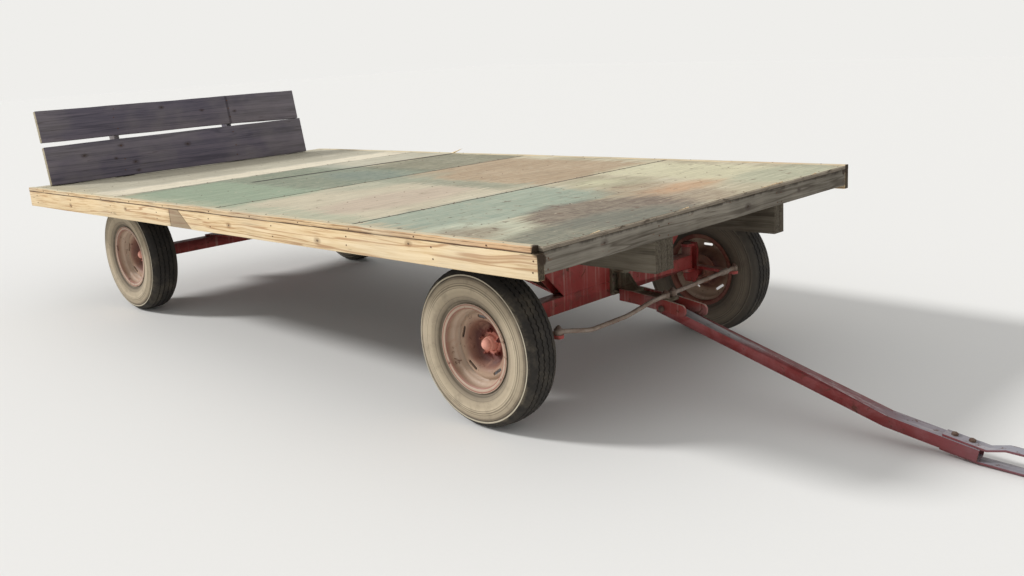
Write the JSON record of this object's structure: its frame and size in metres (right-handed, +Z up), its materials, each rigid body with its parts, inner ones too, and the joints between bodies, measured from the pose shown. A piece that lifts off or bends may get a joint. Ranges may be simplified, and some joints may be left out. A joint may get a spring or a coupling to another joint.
{
  "type": "hay wagon",
  "caption": "Flat-deck farm hay wagon with a leaning plank headboard on a steerable four-wheel running gear with a drawbar tongue.",
  "frame": {"origin": "on the ground, midway between the lowered tongue's tip and the headboard posts' tops, on the centre line", "axes": "+X forwards towards the tongue, +Y to the wagon's left, +Z up"},
  "size_m": [6.5426, 2.514, 1.3572],
  "materials": {
    "deck_paint": "worn sage green deck paint over weathered plywood",
    "rail_wood": "sun-bleached yellow-tan lumber",
    "frame_wood": "weathered grey-brown lumber",
    "board_wood": "dark weathered grey-brown plank",
    "gear_red": "faded red paint, dirty",
    "wheel_red": "faded red-pink wheel paint",
    "bare_steel": "rusty bare steel",
    "grey_iron": "dull grey-green iron",
    "tyre": "dusty rubber"
  },
  "bodies": {
    "wagon": {"deck_sheets": "deck_paint", "cross_joists": "frame_wood", "front_rail": "frame_wood", "rear_rail": "frame_wood", "side_rail_right_front": "rail_wood", "side_rail_right_rear": "rail_wood", "side_rail_left": "rail_wood", "headboard_plank_lower": "board_wood", "headboard_plank_upper": "board_wood", "headboard_posts": "board_wood", "headboard_brackets": "bare_steel", "front_bolster": "gear_red", "rear_bolster": "gear_red", "reach_pole": "gear_red", "reach_clevis": "gear_red", "rear_hounds": "gear_red", "front_hounds": "gear_red", "front_axle": "gear_red", "kingpins": "bare_steel", "rear_axle": "gear_red", "pivot_bracket": "grey_iron", "pivot_pin": "bare_steel", "edge_strip_right": "rail_wood", "sill_right": "frame_wood", "edge_strip_left": "rail_wood", "sill_left": "frame_wood"},
    "tongue_swivel": {"tongue_swivel": "grey_iron", "swivel_bars": "gear_red", "hinge_pin": "bare_steel"},
    "tongue": {"tongue_pole": "gear_red", "hitch_straps": "bare_steel"},
    "tie_rod_right": {"tie_rod_right": "bare_steel"},
    "knuckle_right": {"knuckle_right": "gear_red"},
    "wheel_front_right": {"tyre_front_right": "tyre", "rim_front_right": "wheel_red", "hub_front_right": "wheel_red"},
    "wheel_rear_right": {"tyre_rear_right": "tyre", "rim_rear_right": "wheel_red", "hub_rear_right": "wheel_red"},
    "tie_rod_left": {"tie_rod_left": "bare_steel"},
    "knuckle_left": {"knuckle_left": "gear_red"},
    "wheel_front_left": {"tyre_front_left": "tyre", "rim_front_left": "wheel_red", "hub_front_left": "wheel_red"},
    "wheel_rear_left": {"tyre_rear_left": "tyre", "rim_rear_left": "wheel_red", "hub_rear_left": "wheel_red"}
  },
  "joints": [
    {"name": "tongue_steer", "type": "hinge", "parent": "wagon", "child": "tongue_swivel", "pos_m": [1.18704, 0, 0.5], "axis": [0, 0, 1], "range_deg": [-35, 35]},
    {"name": "tongue_lift", "type": "hinge", "parent": "tongue_swivel", "child": "tongue", "pos_m": [1.46904, 0, 0.408], "axis": [0, -1, 0], "range_deg": [0, 35]},
    {"name": "knuckle_right_steer", "type": "hinge", "parent": "wagon", "child": "knuckle_right", "pos_m": [1.10204, -0.695, 0.475], "axis": [0, 0, 1], "range_deg": [-35, 35]},
    {"name": "tie_rod_right_pivot", "type": "hinge", "parent": "tongue_swivel", "child": "tie_rod_right", "pos_m": [1.47204, -0.03, 0.47], "axis": [0, 0, 1], "range_deg": [-35, 35]},
    {"name": "wheel_front_right_spin", "type": "hinge", "parent": "knuckle_right", "child": "wheel_front_right", "pos_m": [1.10204, -0.905, 0.376], "axis": [0, 1, 0], "continuous": true},
    {"name": "wheel_rear_right_spin", "type": "hinge", "parent": "wagon", "child": "wheel_rear_right", "pos_m": [-2.30896, -0.905, 0.376], "axis": [0, 1, 0], "continuous": true},
    {"name": "knuckle_left_steer", "type": "hinge", "parent": "wagon", "child": "knuckle_left", "pos_m": [1.10204, 0.695, 0.475], "axis": [0, 0, 1], "range_deg": [-35, 35]},
    {"name": "tie_rod_left_pivot", "type": "hinge", "parent": "tongue_swivel", "child": "tie_rod_left", "pos_m": [1.47204, 0.03, 0.47], "axis": [0, 0, 1], "range_deg": [-35, 35]},
    {"name": "wheel_front_left_spin", "type": "hinge", "parent": "knuckle_left", "child": "wheel_front_left", "pos_m": [1.10204, 0.905, 0.376], "axis": [0, 1, 0], "continuous": true},
    {"name": "wheel_rear_left_spin", "type": "hinge", "parent": "wagon", "child": "wheel_rear_left", "pos_m": [-2.30896, 0.905, 0.376], "axis": [0, 1, 0], "continuous": true}
  ],
  "couplings": [
    {"joint": "knuckle_right_steer", "follows": "tongue_steer", "ratio": 1},
    {"joint": "tie_rod_right_pivot", "follows": "tongue_steer", "ratio": -1},
    {"joint": "knuckle_left_steer", "follows": "tongue_steer", "ratio": 1},
    {"joint": "tie_rod_left_pivot", "follows": "tongue_steer", "ratio": -1}
  ]
}
